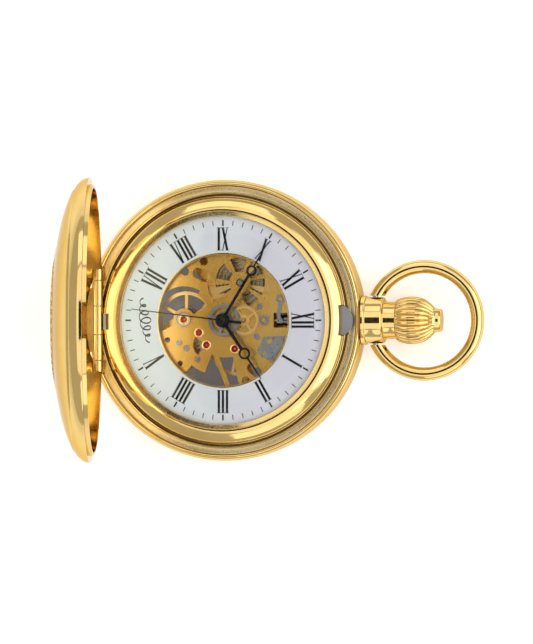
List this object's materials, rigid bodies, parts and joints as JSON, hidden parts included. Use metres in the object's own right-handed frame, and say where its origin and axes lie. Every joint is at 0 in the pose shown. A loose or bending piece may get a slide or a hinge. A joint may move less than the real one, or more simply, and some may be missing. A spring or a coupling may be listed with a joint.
{
  "type": "pocket watch",
  "caption": "Hunter-case pocket watch with a sprung domed front cover, bow, fluted crown and an open skeleton centre that shows a geared mechanical movement.",
  "frame": {"origin": "middle of the flat rest face on the back bezel", "axes": "+Z out of the dial, +Y towards 12 o'clock and the pendant, +X towards 3 o'clock"},
  "size_m": [0.05, 0.0732, 0.0548],
  "materials": {
    "case_gold": "polished",
    "cover_gold": "polished",
    "crown_gold": "polished",
    "plate_gilt": "fine grained",
    "wheel_gilt": "circular grained",
    "steel": "brushed",
    "polished_steel": "polished",
    "spring_steel": "satin",
    "blued_spring": "blued",
    "dark_steel": "satin",
    "ring_metal": "satin",
    "ruby": "polished",
    "crystal": "polished",
    "dial_enamel": "satin",
    "hand_black": "gloss",
    "gasket": "matt"
  },
  "bodies": {
    "case": {"case_band": "case_gold", "back_bezel": "case_gold", "back_crystal": "crystal", "back_gasket": "gasket", "front_bezel": "case_gold", "front_crystal": "crystal", "movement_ring": "ring_metal", "ring_screws_set": "polished_steel", "pendant": "case_gold", "bow_pins": "polished_steel", "hinge_pin": "polished_steel", "lift_spring": "steel", "setting_bridge": "polished_steel", "main_plate": "plate_gilt", "crown_wheel_screw": "polished_steel", "click_spring": "spring_steel", "barrel_bridge": "plate_gilt", "train_bridge": "plate_gilt", "pallet_bridge": "plate_gilt", "balance_cock": "plate_gilt", "shock_settings": "wheel_gilt", "train_jewels": "ruby", "bridge_screws": "polished_steel", "plate_screws": "polished_steel", "dial": "dial_enamel"},
    "cover": {"front_cover": "cover_gold"},
    "catch": {"catch": "steel"},
    "bow": {"bow": "case_gold"},
    "crown_slider": {"stem_gasket": "gasket"},
    "crown": {"crown": "crown_gold", "stem": "polished_steel"},
    "clutch": {"sliding_clutch": "dark_steel"},
    "winding_pinion": {"winding_pinion": "polished_steel"},
    "crown_wheel": {"crown_wheel": "steel"},
    "ratchet": {"ratchet_wheel": "steel", "ratchet_screw": "polished_steel", "barrel_arbor": "polished_steel"},
    "click": {"click": "polished_steel"},
    "yoke": {"yoke": "polished_steel"},
    "setting_lever": {"setting_lever": "polished_steel"},
    "seconds": {"fourth_wheel": "wheel_gilt", "seconds_hand": "hand_black"},
    "minutes": {"centre_wheel": "wheel_gilt", "cannon_pinion": "polished_steel", "minute_hand": "hand_black"},
    "hours": {"hour_wheel": "steel", "hour_hand": "hand_black"},
    "third": {"third_wheel": "wheel_gilt"},
    "escape": {"escape_wheel": "steel"},
    "barrel": {"barrel": "wheel_gilt", "mainspring": "spring_steel"},
    "minute_wheel": {"minute_wheel": "wheel_gilt"},
    "setting_wheel": {"setting_wheel": "polished_steel"},
    "pallet": {"pallet_fork": "polished_steel", "pallet_stones": "ruby"},
    "balance": {"balance_wheel": "wheel_gilt", "hairspring": "blued_spring"},
    "regulator": {"regulator": "polished_steel"}
  },
  "joints": [
    {"name": "cover_hinge", "type": "hinge", "parent": "case", "child": "cover", "pos_m": [0, -0.0228, 0.0078], "axis": [1, 0, 0], "range_deg": [-80, 0], "stiffness_Nm_per_rad": 0.002, "springref_deg": 20.05},
    {"name": "catch_slide", "type": "slide", "parent": "case", "child": "catch", "axis": [0, -1, 0], "range_m": [0, 0.0006], "stiffness_N_per_m": 400, "springref_m": -0.0005},
    {"name": "bow_swing", "type": "hinge", "parent": "case", "child": "bow", "pos_m": [0, 0.027, 0.0048], "axis": [1, 0, 0], "range_deg": [-80, 80]},
    {"name": "crown_slide", "type": "slide", "parent": "case", "child": "crown_slider", "axis": [0, 1, 0], "range_m": [-0.0006, 0.0012]},
    {"name": "crown_spin", "type": "hinge", "parent": "crown_slider", "child": "crown", "pos_m": [0, 0.034, 0.0048], "axis": [0, 1, 0], "continuous": true},
    {"name": "clutch_spin", "type": "hinge", "parent": "case", "child": "clutch", "pos_m": [0, 0.0105, 0.0048], "axis": [0, 1, 0], "continuous": true},
    {"name": "winding_pinion_spin", "type": "hinge", "parent": "case", "child": "winding_pinion", "pos_m": [0, 0.0127, 0.0048], "axis": [0, 1, 0], "continuous": true},
    {"name": "crown_wheel_spin", "type": "hinge", "parent": "case", "child": "crown_wheel", "pos_m": [0, 0.00794, 0.00285], "axis": [0, 0, 1], "continuous": true},
    {"name": "ratchet_spin", "type": "hinge", "parent": "case", "child": "ratchet", "pos_m": [-0.0067, 0.0028, 0.00285], "axis": [0, 0, 1], "continuous": true},
    {"name": "click_pivot", "type": "hinge", "parent": "case", "child": "click", "pos_m": [-0.01206, 0.00475, 0.00285], "axis": [0, 0, 1], "range_deg": [0, 14], "stiffness_Nm_per_rad": 0.000001, "springref_deg": -11.46},
    {"name": "yoke_pivot", "type": "hinge", "parent": "case", "child": "yoke", "pos_m": [-0.0038, 0.0102, 0.0067], "axis": [0, 0, 1], "range_deg": [-1.5, 1.5]},
    {"name": "setting_lever_pivot", "type": "hinge", "parent": "case", "child": "setting_lever", "pos_m": [0.0034, 0.0144, 0.0067], "axis": [0, 0, 1], "range_deg": [-5, 5]},
    {"name": "seconds_spin", "type": "hinge", "parent": "case", "child": "seconds", "pos_m": [0, 0, 0.0035], "axis": [0, 0, -1], "continuous": true},
    {"name": "minute_spin", "type": "hinge", "parent": "case", "child": "minutes", "pos_m": [0, 0, 0.0058], "axis": [0, 0, -1], "continuous": true},
    {"name": "hour_spin", "type": "hinge", "parent": "case", "child": "hours", "pos_m": [0, 0, 0.0071], "axis": [0, 0, -1], "continuous": true},
    {"name": "third_spin", "type": "hinge", "parent": "case", "child": "third", "pos_m": [0.00507, 0.00185, 0.0045], "axis": [0, 0, -1], "continuous": true},
    {"name": "escape_spin", "type": "hinge", "parent": "case", "child": "escape", "pos_m": [0.00439, -0.00331, 0.0052], "axis": [0, 0, -1], "continuous": true},
    {"name": "barrel_spin", "type": "hinge", "parent": "case", "child": "barrel", "pos_m": [-0.0067, 0.0028, 0.0046], "axis": [0, 0, -1], "continuous": true},
    {"name": "minute_wheel_spin", "type": "hinge", "parent": "case", "child": "minute_wheel", "pos_m": [0, 0.0036, 0.0067], "axis": [0, 0, -1], "continuous": true},
    {"name": "setting_wheel_spin", "type": "hinge", "parent": "case", "child": "setting_wheel", "pos_m": [0, 0.0072, 0.0067], "axis": [0, 0, -1], "continuous": true},
    {"name": "pallet_swing", "type": "hinge", "parent": "case", "child": "pallet", "pos_m": [0.00218, -0.00468, 0.0052], "axis": [0, 0, 1], "range_deg": [-4, 4]},
    {"name": "balance_swing", "type": "hinge", "parent": "case", "child": "balance", "pos_m": [-0.00016, -0.00739, 0.0042], "axis": [0, 0, 1], "range_deg": [-270, 270], "stiffness_Nm_per_rad": 0.0000001, "deforming": ["hairspring"]},
    {"name": "regulator_turn", "type": "hinge", "parent": "case", "child": "regulator", "pos_m": [-0.00016, -0.00739, 0.0026], "axis": [0, 0, 1], "range_deg": [-20, 20]}
  ],
  "couplings": [
    {"joint": "clutch_spin", "follows": "crown_spin", "ratio": 1},
    {"joint": "winding_pinion_spin", "follows": "crown_spin", "ratio": 1},
    {"joint": "crown_wheel_spin", "follows": "crown_spin", "ratio": 0.45},
    {"joint": "ratchet_spin", "follows": "crown_spin", "ratio": -0.5},
    {"joint": "minute_spin", "follows": "seconds_spin", "ratio": 0.016667},
    {"joint": "hour_spin", "follows": "seconds_spin", "ratio": 0.0013889},
    {"joint": "third_spin", "follows": "seconds_spin", "ratio": -0.13333},
    {"joint": "escape_spin", "follows": "seconds_spin", "ratio": -10},
    {"joint": "barrel_spin", "follows": "seconds_spin", "ratio": -0.0027778},
    {"joint": "minute_wheel_spin", "follows": "seconds_spin", "ratio": -0.0055556},
    {"joint": "setting_wheel_spin", "follows": "seconds_spin", "ratio": 0.016667}
  ]
}
